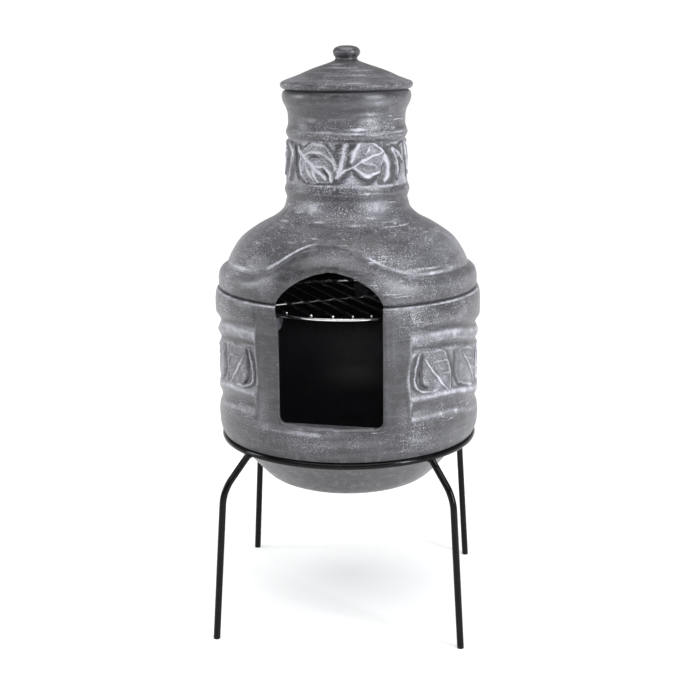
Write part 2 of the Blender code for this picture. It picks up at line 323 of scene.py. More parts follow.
def doorway_cutter():
    """The doorway as a solid that runs from in front of the wall to the firebox."""
    x, z = DOORWAY.T
    y = np.linspace(-0.23, -0.06, 35)[:, None]
    inward = smoothstep(0.0, 1.0, (y + np.sqrt(DOOR_FACE_RADIUS ** 2 - x ** 2)) / DOOR_CUT_DEPTH)
    across = x * (1.0 + inward * DOOR_SPLAY / DOOR_HALF_WIDTH)
    sill = 1.0 - smoothstep(DOOR_SILL - SILL_TILT, DOOR_SILL + 0.016, z)
    grid = np.stack(np.broadcast_arrays(across, y, z - SILL_FALL * inward * sill), axis=-1)
    middle = (DOOR_SILL + ARCH_TOP) / 2
    return skin("doorway_cutter", grid, poles=[(0.0, float(end), middle) for end in y[[0, -1], 0]])


def to_segment(x, z, start, end):
    """Distance from points to a segment, and the share of the way along it that is nearest."""
    way = end - start
    t = np.clip(((x - start[0]) * way[0] + (z - start[1]) * way[1]) / (way @ way), 0.0, 1.0)
    return np.hypot(x - start[0] - t * way[0], z - start[1] - t * way[1]), t


def signed_depth(outline, x, z):
    """Distance inside a closed outline, negative outside it."""
    best = np.full(x.shape, 1.0)
    inside = np.zeros(x.shape, bool)
    for start, end in zip(outline, np.roll(outline, -1, axis=0)):
        dx, dz = end - start
        if math.hypot(dx, dz) < 1e-6:
            continue
        best = np.minimum(best, to_segment(x, z, start, end)[0])
        if dz:
            inside ^= ((start[1] > z) != (end[1] > z)) & (x < start[0] + dx * (z - start[1]) / dz)
    return np.where(inside, best, -best)


# Leaf reliefs.

RELIEF_LIMIT = 0.0026  # crossing strokes pile up no higher than this
SHAKE = 0.0005  # how far a hand-drawn line strays, in metres


class Relief:
    """Heights and whitewash on a wall opened out flat, for points at (azimuth, z) on a mean radius."""

    def __init__(self, azimuth, z, radius):
        self.azimuth = azimuth
        self.z = z
        self.radius = radius
        self.height = np.zeros(azimuth.shape)
        self.paint = np.zeros(azimuth.shape)
        self.halo = np.zeros(azimuth.shape)

    def flat(self, path, turn, mirror):
        """A path of (degrees, millimetres) points as metres on the flat wall."""
        return np.array([(math.radians(mirror * a + turn) * self.radius, 0.001 * z) for a, z in path])

    def window(self, points, margin):
        """The path's middle, which of the wall's points are near it, and where those lie."""
        middle = 0.5 * (points.min(0) + points.max(0))
        reach = 0.5 * (points.max(0) - points.min(0)) + margin
        around = 2 * math.pi * self.radius
        u = (self.azimuth * self.radius - middle[0] + around / 2) % around - around / 2
        v = self.z - middle[1]
        near = (np.abs(u) < reach[0]) & (np.abs(v) < reach[1])
        return middle, near, u[near] + middle[0], v[near] + middle[1]

    def stroke(self, path, width, height, paint=1.0, turn=0.0, mirror=1.0):
        """A ridge, or with a negative height a groove, along a path."""
        points = self.flat(path, turn, mirror)
        points = catmull(points, 0.003) if len(points) > 2 else points
        middle, near, u, v = self.window(points, 5.0 * width)
        u, v = (u + SHAKE * np.sin(v / 0.0024 + 900 * middle[0]), v + SHAKE * np.sin(u / 0.0029))
        best = np.full(u.shape, 1.0)
        along = np.zeros(u.shape)
        count = len(points) - 1
        for i in range(count):
            distance, t = to_segment(u, v, points[i], points[i + 1])
            nearer = distance < best
            best = np.where(nearer, distance, best)
            along = np.where(nearer, (i + t) / count, along)
        uneven = 1.0 + 0.18 * np.sin(9.0 * along + middle[0] * 90)
        thick = width * (0.6 + 0.4 * np.sin(np.pi * along)) * uneven
        shape = ridge(best, thick)
        if height > 0:
            limit = np.maximum(self.height[near], RELIEF_LIMIT)
            self.height[near] = np.minimum(self.height[near] + height * shape, limit)
            self.paint[near] = most(self.paint[near], paint * shape)
            self.halo[near] = most(self.halo[near], ridge(best - 2.1 * thick, 1.2 * thick))
        else:
            self.height[near] += height * shape
            self.halo[near] = most(self.halo[near], shape)
            self.paint[near] *= 1.0 - shape

    def blade(self, outline, height, paint, turn=0.0, mirror=1.0):
        """A leaf's raised body inside a closed outline, with a sunk line round it."""
        points = self.flat(outline, turn, mirror)
        points = catmull(np.vstack([points, points[:1]]), 0.004)
        _, near, u, v = self.window(points, 0.006)
        depth = signed_depth(points, u, v)
        crown = 0.65 * smoothstep(-0.0006, 0.0022, depth) + 0.35 * smoothstep(0.0, 0.009, depth)
        edge = 1.3 * paint * ridge(depth - 0.0012, 0.0014)
        self.height[near] = most(self.height[near], height * crown)
        self.paint[near] = most(self.paint[near], paint * smoothstep(0.0, 0.002, depth), edge)
        self.halo[near] = most(self.halo[near], ridge(depth + 0.0016, 0.0013))

    def sunk(self):
        """Where the wall is darkened between the leaves: bare clay and painted shade beside the raised
        strokes.
        """
        return self.halo * (1.0 - np.clip(self.paint * 1.6, 0.0, 1.0))


STROKE_UNIT = 0.0014  # metres of half width and of height to a stroke's unit

# Strokes of the chimney's leaf band, as (azimuth in degrees, height in millimetres), with each
# stroke's half width, height and whitewash. They repeat each half turn.
NECK_STROKES = [
    ([(-60, 698), (-53, 686), (-57, 665), (-62, 646)], 3.0, 1.6, 0.8),
    ([(-76, 700), (-68, 684), (-72, 666), (-80, 652)], 1.8, 1.5, 0.8),
    ([(-70, 690), (-82, 676)], 1.3, 1.3, 0.8),
    ([(-44, 696), (-40, 684), (-41, 672), (-39, 658), (-32, 647)], 1.6, 1.6, 0.85),
    ([(-42, 690), (-34, 680), (-26, 670), (-18, 660), (-12, 652)], 2.3, 2.0, 0.95),
    ([(-26, 670), (-25, 659), (-20, 649)], 1.6, 1.5, 0.9),
    ([(-33, 679), (-32, 665), (-25, 650)], 1.5, 1.5, 0.85),
    ([(-36, 684), (-27, 688), (-18, 688), (-9, 681), (-4, 672), (-4, 664)], 1.7, 1.7, 0.85),
    ([(-32, 697), (-24, 700), (-16, 698), (-10, 692), (-8, 686)], 1.3, 1.3, 0.65),
    ([(-7, 683), (-4, 676), (-2, 666), (-2, 659)], 1.2, 1.2, 0.6),
    ([(-21, 670), (-13, 667), (-8, 659), (-7, 649)], 1.7, 1.6, 0.9),
    ([(6, 701), (4, 683), (1, 665), (-1, 654)], 3.0, 1.3, 0.75),
    ([(20, 702), (15, 689), (12, 675)], 2.7, 2.0, 1.0),
    ([(7, 664), (18, 673), (28, 681), (43, 688)], 1.3, 2.2, 1.0),
    ([(-3, 653), (2, 660), (7, 665)], 1.6, 1.6, 0.9),
    ([(20, 700), (26, 703), (34, 700), (40, 694), (44, 688)], 1.6, 1.6, 0.85),
    ([(30, 697), (25, 686)], 1.1, 1.3, 0.95),
    ([(15, 668), (20, 661), (27, 656), (33, 658), (39, 662)], 2.4, 1.9, 0.95),
    ([(22, 674), (29, 673), (36, 668)], 2.4, 1.0, 0.75),
    ([(42, 685), (42, 674), (40, 664)], 1.1, 1.1, 0.5),
    ([(45, 684), (49, 671), (48, 656), (45, 649)], 3.4, 1.5, 0.8),
    ([(48, 698), (59, 700), (73, 703)], 1.4, 1.2, 0.65),
    ([(54, 692), (60, 682), (63, 667), (62, 652)], 1.7, 1.6, 0.9),
    ([(55, 693), (64, 686), (72, 674)], 1.6, 1.5, 0.85),
    ([(80, 700), (90, 690), (93, 672), (86, 652)], 1.6, 1.4, 0.75),
    ([(78, 698), (84, 676), (88, 654)], 1.5, 1.6, 0.9),
]
NECK_GROOVES = [
    [(-50, 697), (-47, 680), (-47, 664), (-43, 650)], [(-29, 680), (-23, 683), (-18, 681)],
    [(-15, 666), (-10, 657)], [(14, 659), (21, 650), (29, 648), (36, 652)],
]

# The same for the panel's two leaves, which repeat every 49 degrees round from the door surround.
PANEL_STROKES = [
    ([(38.9, 404), (36.8, 379), (36.8, 359), (40.7, 349), (47.7, 347)], 1.6, 1.6, 0.75),
    ([(41.5, 403), (46.1, 403), (51.6, 402), (54.5, 386), (56.9, 365), (56.4, 344)], 1.8, 1.3, 0.6),
    ([(41.5, 394), (46.2, 374), (54.1, 345)], 1.3, 1.8, 0.95),
    ([(45.7, 388), (53.9, 386), (55.7, 369), (50.7, 371)], 1.2, 1.1, 0.65),
    ([(44.4, 365), (47.5, 352), (52.5, 350)], 1.6, 0.8, 0.35),
    ([(60.5, 399), (61.3, 386), (60.6, 368), (63.0, 354)], 1.6, 1.2, 0.45),
    ([(66.0, 396), (70.5, 384), (75.6, 371), (80.0, 354)], 1.3, 1.7, 0.9),
    ([(62.9, 353), (70.0, 350), (78.0, 347)], 1.5, 1.2, 0.7),
    ([(66.0, 403), (75.0, 402), (81.0, 388), (82.6, 368), (81.0, 350)], 1.8, 1.2, 0.55),
    ([(68.5, 389), (77.5, 386)], 1.1, 1.1, 0.7),
    ([(72.5, 377), (80.0, 372)], 1.1, 1.1, 0.7),
]
NECK_BLADES = [
    [(-40, 691), (-25, 699), (-14, 696), (-5, 684), (-3, 664), (-6, 649), (-18, 646), (-30, 646),
     (-38, 660)],
    [(12, 672), (17, 688), (22, 700), (31, 702), (40, 699), (45, 689), (43, 673), (38, 660),
     (31, 657), (22, 660), (13, 666)],
]
PANEL_BLADES = [
    [(41.0, 401), (46.1, 403), (51.6, 402), (54.7, 386), (56.9, 365), (56.0, 345), (47.7, 347),
     (42.6, 353), (40.9, 365), (40.6, 381)],
    [(61.5, 398), (66.0, 403), (75.0, 402), (81.0, 388), (82.6, 368), (80.0, 350), (70.0, 350),
     (63.2, 353), (60.9, 368)],
]
PANEL_GROOVE = [(40.8, 401), (39.4, 379), (39.8, 361), (43.0, 352)]
PANEL_REPEAT = 49.0
PANEL_END = 176.0  # no leaf starts beyond this


def neck_relief(azimuth, z):
    relief = Relief(azimuth, z, 0.0875)
    for turn in (0.0, 180.0):
        for outline in NECK_BLADES:
            relief.blade(outline, 0.0012, 0.46, turn)
        for path, width, height, paint in NECK_STROKES:
            relief.stroke(path, 1.2 * STROKE_UNIT * width, STROKE_UNIT * height, paint, turn)
        for path in NECK_GROOVES:
            relief.stroke(path, 0.0022, -0.0014, 0.0, turn)
    return relief


def panel_relief(azimuth, level):
    relief = Relief(azimuth, level, 0.189)
    for mirror in (-1.0, 1.0):
        for index in range(3):
            turn = mirror * PANEL_REPEAT * index
            for outline in PANEL_BLADES:
                if outline[0][0] + PANEL_REPEAT * index < PANEL_END:
                    relief.blade(outline, 0.0016, 0.36, turn, mirror)
            for path, width, height, paint in PANEL_STROKES:
                if path[0][0] + PANEL_REPEAT * index < PANEL_END:
                    relief.stroke(path, STROKE_UNIT * width, STROKE_UNIT * height, paint, turn, mirror)
            if index < 2 or mirror > 0:
                relief.stroke(PANEL_GROOVE, 0.0016, -0.0022, 0.0, turn, mirror)
    return relief


# Fire bowl.

SURROUND_EDGE = 34.0  # azimuth, in degrees, where the plain door surround ends
BAND_CLIMB = 0.019  # how much higher the bands run beside the door than at the sides

# Profiles as (height, radius), and bands as (height, half height, weight).
BOWL_SIDE = [
    (0.49, 0.1892), (0.4885, 0.1915), (0.4855, 0.1928), (0.48, 0.1938), (0.468, RIM), (0.452, 0.1944),
    (0.4465, 0.193), (0.441, 0.1895), (0.436, 0.1876), (0.431, 0.189), (0.426, 0.1911), (0.423, 0.1917),
    (0.419, 0.191), (0.414, 0.1886), (0.4105, 0.1875), (0.406, 0.1887), (0.402, 0.1891), (0.39, 0.1889),
    (0.37, 0.1888), (0.356, 0.1886), (0.35, 0.1893), (0.344, 0.1913), (0.3395, 0.1924), (0.335, 0.1916),
    (0.33, 0.1893), (0.325, 0.1882), (0.32, 0.189), (0.315, 0.1912), (0.31, 0.1922), (0.303, 0.1928),
    (0.29, 0.1922), (0.283, 0.1908), (0.2785, 0.1889),
]
DOOR_SURROUND = [
    (0.49, 0.1892), (0.4885, 0.1915), (0.4855, 0.1926), (0.478, 0.193), (0.45, 0.1922), (0.42, 0.1912),
    (0.39, 0.1908), (0.35, 0.191), (0.32, 0.192), (0.303, 0.1928), (0.29, 0.1922), (0.283, 0.1908),
    (0.2785, 0.1889),
]
BOWL_BANDS = [
    (0.427, 0.0055, 0.62), (0.418, 0.003, 0.45), (0.4025, 0.0034, 0.5), (0.341, 0.005, 0.68),
    (0.312, 0.0044, 0.48), (0.423, 0.009, 0.46),
]
# Bands of painted shade in the grooves between the beads.
BOWL_GROOVE_SHADES = [(0.436, 0.003, 0.45), (0.41, 0.003, 0.85), (0.3515, 0.0022, 0.3), (0.3255, 0.004, 0.35)]

# Where brushed limewash and some painted highlights lie on the plain clay, and where its specks are
# thick, or with a negative weight thin. Azimuth in degrees, height in millimetres, the half width and
# half height, and the weight.
BOWL_RUBS_AND_HIGHLIGHTS = [
    # The patch at 0 degrees and 321.5 mm is a painted highlight along the edge under the door sill.
    (-10, 315, 17, 4.5, 0.6), (-31, 345, 4, 30, 0.38), (-5, 300, 16, 5, 0.4), (14, 301, 13, 8, 0.32),
    (40, 300, 8, 6, 0.48), (0, 321.5, 18, 2.2, 0.45), (60, 296, 14, 6, 0.3), (31, 340, 3, 20, 0.3),
    (60, 462, 16, 9, 0.28), (24, 478, 6, 10, 0.25), (-60, 458, 10, 8, 0.3), (-30, 318, 7, 10, 0.35),
    (-100, 300, 20, 12, 0.3), (110, 462, 22, 10, 0.3), (160, 300, 25, 10, 0.3),
    (-150, 460, 25, 10, 0.3),
]
DOME_RUBS_AND_HIGHLIGHTS = [
    # Among these are painted highlights: the soft bright patches on the concave flare near 612 to 615 mm,
    # at about -32 to -25 and 30 to 33 degrees, and the sheen on the hood's flanks beside the arch near
    # 518 and 520 mm.
    (38, 755, 14, 6, 0.45), (30, 740, 20, 3, 0.45), (-5, 733.5, 30, 2.2, 0.4), (-20, 727, 10, 6, 0.3),
    (28, 722, 22, 7, 0.38), (-42, 545, 12, 12, 0.3), (40, 545, 16, 14, 0.32), (-62, 528, 16, 6, 0.45),
    (66, 530, 12, 6, 0.4), (30, 615, 12, 10, 0.34), (-32, 612, 10, 10, 0.34), (-28, 535, 6, 12, 0.28),
    (0, 553, 14, 4, 0.26), (-20, 583, 25, 6, 0.25), (-72, 560, 36, 50, 0.34), (76, 560, 36, 50, 0.34),
    (0, 620, 90, 10, 0.2), (62, 510, 30, 15, 0.26), (-62, 510, 24, 15, 0.22), (70, 740, 40, 30, 0.16),
    (-25, 614, 18, 15, 0.58), (33, 615, 18, 15, 0.66), (-28, 732, 9, 4, 0.5), (28, 731, 12, 5, 0.55),
    (-20, 764, 12, 3, 0.3), (-52, 529.5, 13, 3.4, 0.8), (-43, 536, 5, 5, 0.5), (50, 528, 16, 3, 0.85),
    (46, 535, 12, 2, 0.7), (-30, 520, 7, 18, 0.42), (28, 518, 8, 18, 0.42), (20, 719.5, 20, 2.2, 0.75),
    (-12, 716, 8, 3, 0.65), (14, 590.5, 9, 1.6, 0.75), (-16, 594, 8, 1.4, 0.75),
    (30, 599, 12, 1.8, 0.7), (-40, 604, 8, 2.2, 0.7), (100, 560, 20, 12, 0.3), (-110, 575, 20, 12, 0.3),
    (170, 550, 25, 14, 0.32), (140, 740, 25, 10, 0.3), (-130, 735, 25, 10, 0.3),
]
LID_RUBS = [
    (-25, 806.5, 30, 1.4, 0.45), (5, 802.2, 40, 1.5, 0.5), (30, 798.7, 30, 1.4, 0.5),
    (-30, 795.5, 25, 1.4, 0.4), (15, 792.5, 50, 1.4, 0.45), (-50, 789.2, 25, 1.5, 0.4),
    (40, 790, 20, 1.4, 0.45), (10, 828.5, 60, 1.5, 0.45), (-20, 823.5, 30, 1.4, 0.4),
    (150, 800, 50, 3, 0.35), (-130, 795, 40, 3, 0.35),
]
BOWL_SPECKS = [
    (0, 400, 38, 60, -0.55), (18, 390, 13, 90, -0.5), (-19, 390, 10, 90, -0.2), (0, 350, 32, 30, -0.25),
    (30, 390, 4, 80, 0.12), (-28, 330, 8, 40, 0.2), (60, 470, 30, 12, 0.3), (-60, 470, 25, 12, 0.15),
    (8, 305, 35, 14, 0.3), (60, 330, 26, 16, 0.35), (-58, 330, 20, 16, 0.25), (62, 430, 22, 12, 0.3),
    (130, 400, 50, 90, 0.2), (-140, 380, 50, 90, 0.15),
]
DOME_SPECKS = [
    (0, 548, 30, 18, -0.22), (0, 765, 70, 20, -0.45), (0, 740, 60, 12, -0.2), (20, 728, 30, 6, 0.35),
    (0, 712, 50, 6, 0.25), (0, 670, 360, 32, 0.2), (0, 626, 70, 8, -0.3), (-50, 560, 22, 40, 0.35),
    (50, 560, 24, 40, 0.28), (8, 580, 22, 14, -0.05), (0, 556, 14, 10, 0.2), (-52, 510, 24, 14, 0.15),
    (60, 505, 24, 14, 0.1), (-8, 548, 12, 6, -0.2), (150, 560, 60, 50, 0.25),
]


def lookup(keys, z):
    """Radius at each height, along a smooth curve through (height, radius) points."""
    curve = catmull(keys, 0.0005)
    order = np.argsort(curve[:, 0])
    return np.interp(z, curve[order, 0], curve[order, 1])


def bowl_wall(azimuth, z):
    """Outer radius of the bowl, its whitewash and painted highlights, and its bare clay and painted
    shade, from rim to belly.
    """
    turn = np.degrees(np.abs(azimuth))
    fade = between(0.278, 0.33, 0.455, 0.486, z)
    level = z - BAND_CLIMB * (1.0 - smoothstep(50.0, 92.0, turn)) * fade
    level = level + 0.0008 * np.sin(3 * azimuth + 0.6) * fade
    border = turn - SURROUND_EDGE - 0.5 * np.sin(z / 0.013)
    side = smoothstep(-0.6, 1.2, border)
    relief = panel_relief(azimuth, level)
    panel = between(0.3445, 0.3475, 0.403, 0.406, level)
    rail = ridge(border, 1.0) * between(0.312, 0.33, 0.432, 0.446, level)
    banded = lookup(BOWL_SIDE, level) + relief.height - 0.0007 * relief.halo * panel
    radius = lookup(DOOR_SURROUND, z) * (1.0 - side) + banded * side + 0.0011 * rail
    washed = side * most(relief.paint, 0.38 * (1.0 - relief.halo) * panel, bands(level, BOWL_BANDS))
    # A painted highlight along the top edge of the rim.
    lip = 0.6 * ridge(z - 0.4885, 0.0014)
    paint = most(washed, 0.52 * rail, wash_and_highlight_patches(azimuth, z, BOWL_RUBS_AND_HIGHLIGHTS), lip)
    # Painted shade, with bare clay, in the carved grooves, in the sunk ground beside the leaves and in
    # the grooves between the beads.
    grooves = np.clip(-relief.height / 0.0016, 0.0, 1.0)
    shaded = side * most(grooves, 0.7 * panel * relief.sunk(), bands(level, BOWL_GROOVE_SHADES))
    # The plain door surround is given a darker tone, with a little more painted shade on its right, where
    # the stronger softbox falls.
    surround = (0.5 + 0.1 * np.sin(azimuth)) * (1.0 - side) * between(0.29, 0.32, 0.47, 0.488, z)
    # Darker low on the front, below the doorway.
    foot = 0.6 * (1.0 - smoothstep(0.295, 0.318, z)) * ridge(azimuth, 1.1)
    # Painted shade over the lower bowl, darkest just above the stand ring.
    belly = most(0.4 * (1.0 - smoothstep(0.31, 0.335, z)), 1.0 - smoothstep(0.2785, 0.29, z))
    return radius, paint, most(shaded, surround, foot, belly)


def make_lug(name, degrees):
    """A corbel of clay inside the bowl that the grill rests on."""
    back = FIREBOX_RADIUS + 0.004
    side = [(LUG_REACH, LUG_TOP), (LUG_REACH, LUG_TOP - LUG_TIP),
            (back, LUG_TOP - LUG_DROP), (back, LUG_TOP)]
    shape = bmesh.new()
    ends = [[shape.verts.new((x, -r, z)) for r, z in side] for x in (-LUG_WIDTH / 2, LUG_WIDTH / 2)]
    shape.faces.new(ends[0])
    shape.faces.new(list(reversed(ends[1])))
    for i in range(4):
        j = (i + 1) % 4
        shape.faces.new((ends[0][j], ends[0][i], ends[1][i], ends[1][j]))
    bmesh.ops.recalc_face_normals(shape, faces=shape.faces)
    bmesh.ops.bevel(shape, geom=list(shape.edges), offset=0.0022, segments=4, profile=0.5, affect="EDGES")
    shape.transform(Matrix.Rotation(math.radians(degrees), 4, "Z"))
    return shape_object(name, shape)


def make_bowl():
    azimuth = azimuths((0, 18, 1.5), (18, 27, 0.45), (27, 33, 1.0), (33, 97, 0.45), (97, 180, 0.75))
    heights = ladder((0.49, 0.485, 0.001), (0.485, 0.466, 0.0026), (0.466, 0.425, 0.0014),
                     (0.425, 0.356, 0.0013), (0.356, 0.32, 0.0015), (0.32, 0.2785, 0.003))
    a, z = np.meshgrid(azimuth, heights)
    radius, paint, bare_and_shade = bowl_wall(a, z)
    radius = radius + UNEVENNESS * wobble(a, z, 1.3) * between(0.2785, 0.29, 0.478, 0.488, z)
    radius = np.minimum(radius - doorway_rounding(a, radius, z, 0.006, 0.005), RIM)
    seat = RING_HIGH.z + GAP
    belly = catmull([(0.178, 0.268), (0.158, 0.2475), (0.139, 0.226), (0.124, 0.2105),
                     (0.111, 0.203), (0.095, BOWL_BOTTOM)], 0.009)
    under = np.vstack([[(0.1872, seat + 0.0008), (0.184, seat), (0.1795, seat)], belly,
                       [(0.06, BOWL_BOTTOM), (0.012, BOWL_BOTTOM)]])
    hearth = catmull([(0.086, FIREBOX_FLOOR), (0.108, 0.2275), (0.129, 0.244), (0.145, 0.265),
                      (0.162, 0.286), (0.1705, 0.31), (FIREBOX_RADIUS, 0.335)], 0.016)
    wall = [(FIREBOX_RADIUS, height) for height in (0.38, 0.405, 0.43, 0.455, 0.476, 0.484)]
    inside = np.vstack([[(0.012, FIREBOX_FLOOR), (0.045, FIREBOX_FLOOR)], hearth, wall,
                        [(0.1732, 0.4885), (0.1745, 0.4899), (0.18, BOWL_TOP)]])
    parts = [(rings(inside, azimuth), 0, 0, 0, 0),
             (place(radius, a, z), paint, bare_and_shade, speckled(a, z, BOWL_SPECKS), 1),
             # The underside is in full painted shade.
             (rings(under, azimuth), 0, 1, PLAIN_SPECKLE, 1)]
    lugs = [make_lug(f"lug_{index}", degrees) for index, degrees in enumerate(LUG_ANGLES)]
    poles = [(0.0, 0.0, FIREBOX_FLOOR), (0.0, 0.0, BOWL_BOTTOM)]
    return finish_clay("fire_bowl_clay", parts, [doorway_cutter()], lugs, poles=poles)


# Dome and chimney.

NECK_SIDE = [
    (CHIMNEY_TOP, 0.0846), (0.7716, 0.0868), (0.7703, 0.089), (0.768, 0.0912), (0.763, 0.0924),
    (0.758, 0.0918), (0.753, 0.0901), (0.748, 0.0874), (0.743, 0.0854), (0.737, 0.0841),
    (0.728, 0.0838), (0.723, 0.0838), (0.7175, 0.0854), (0.712, 0.0872), (0.707, 0.0858),
    (0.703, 0.0836), (0.699, 0.0842), (0.694, 0.085), (0.67, 0.0858), (0.646, 0.0866), (0.6415, 0.0872),
    (0.637, 0.0882), (0.631, 0.0901), (0.626, 0.0888), (0.621, 0.0872), (0.617, 0.0874),
]
NECK_BANDS = [
    (0.715, 0.002, 0.6), (0.7095, 0.0022, 0.35), (0.6425, 0.003, 0.58), (0.63, 0.003, 0.25),
    (0.702, 0.0026, 0.5), (0.73, 0.007, 0.2),
]
# Bands of painted shade in the grooves under the beads.
NECK_GROOVE_SHADES = [(0.7045, 0.002, 0.6), (0.6225, 0.0026, 0.5)]
SHOULDER = [
    (0.623, 0.0872), (0.614, 0.0885), (0.602, 0.0932), (0.59, 0.1072), (0.579, 0.1282), (0.561, 0.1537),
    (0.543, 0.1672), (0.529, 0.1742), (0.5215, 0.1768),
]
SHOULDER_TOP = 0.614

# Edges and flue as (radius, height).
BELT_EDGE = [
    (0.1758, 0.5244), (0.1772, 0.523), (0.1792, 0.5219), (0.1817, 0.5206), (0.1841, 0.5187),
    (0.1862, 0.516), (0.1877, 0.5122), (0.1886, 0.5076), (BELT, 0.502), (0.1889, 0.496),
    (0.1879, 0.4928), (0.185, DOME_FOOT),
]
HOOD_EDGE = [
    (0.143, 0.569), (0.1484, 0.5669), (0.1547, 0.564), (0.1615, 0.56), (0.1688, 0.5547),
    (0.1762, 0.5468), (0.1824, 0.537), (0.1862, 0.525), (0.1881, 0.511), (0.1887, 0.4975),
    (0.1879, 0.4928), (0.185, DOME_FOOT),
]
HOOD_CENTRE = -3.5  # degrees
HOOD_HALF_ANGLES = (24.0, 28.5)  # left and right
HOOD_FLATNESS = (3.0, 2.4)
FLUE = [
    (0.175, DOME_FOOT), (0.17, DOME_FOOT), (0.169, 0.4895), (0.169, 0.483), (0.1683, DOME_LOW.z),
    (0.164, DOME_LOW.z), (0.1632, 0.483), (0.165, 0.49), (0.168, 0.501), (0.167, 0.513), (0.157, 0.533),
    (0.1405, 0.55), (0.114, 0.567), (0.087, 0.579), (0.0715, 0.592), (0.0675, 0.608), (0.0675, 0.65),
    (0.0675, 0.71), (0.0675, 0.76), (0.068, 0.769), (0.07, 0.7716), (0.074, CHIMNEY_TOP),
    (0.082, CHIMNEY_TOP),
]


def make_chimney(azimuth):
    """The chimney from its lip down to the flare."""
    heights = ladder((CHIMNEY_TOP, 0.769, 0.0008), (0.769, 0.72, 0.0022), (0.72, 0.704, 0.0014),
                     (0.704, 0.626, 0.0012), (0.626, SHOULDER_TOP + 0.0015, 0.0018))
    a, z = np.meshgrid(azimuth, heights)
    relief = neck_relief(a, z)
    band = between(0.64, 0.644, 0.7, 0.7035, z)
    wave = z + 0.0012 * np.sin(2 * a + 0.4) * between(0.625, 0.64, 0.725, 0.745, z)
    raised = relief.height + 0.0012 * ridge(np.degrees(a) + 75, 40) - 0.0011 * relief.halo
    radius = lookup(NECK_SIDE + SHOULDER[1:3], wave) + raised * band
    radius = radius + UNEVENNESS * wobble(a, z, 2.1) * (1.0 - smoothstep(0.755, 0.77, z))
    leaves = most(relief.paint, 0.54 - 0.5 * relief.halo) * band
    paint = most(leaves, bands(wave, NECK_BANDS), wash_and_highlight_patches(a, z, DOME_RUBS_AND_HIGHLIGHTS))
    # Painted shade on the left of the neck's upper part.
    left = 0.62 * ridge(np.degrees(a) + 54, 44) * smoothstep(0.7, 0.712, z)
    bare_and_shade = most(band * relief.sunk(), bands(wave, NECK_GROOVE_SHADES), left)
    return place(radius, a, z), paint, bare_and_shade, speckled(a, z, DOME_SPECKS), 1


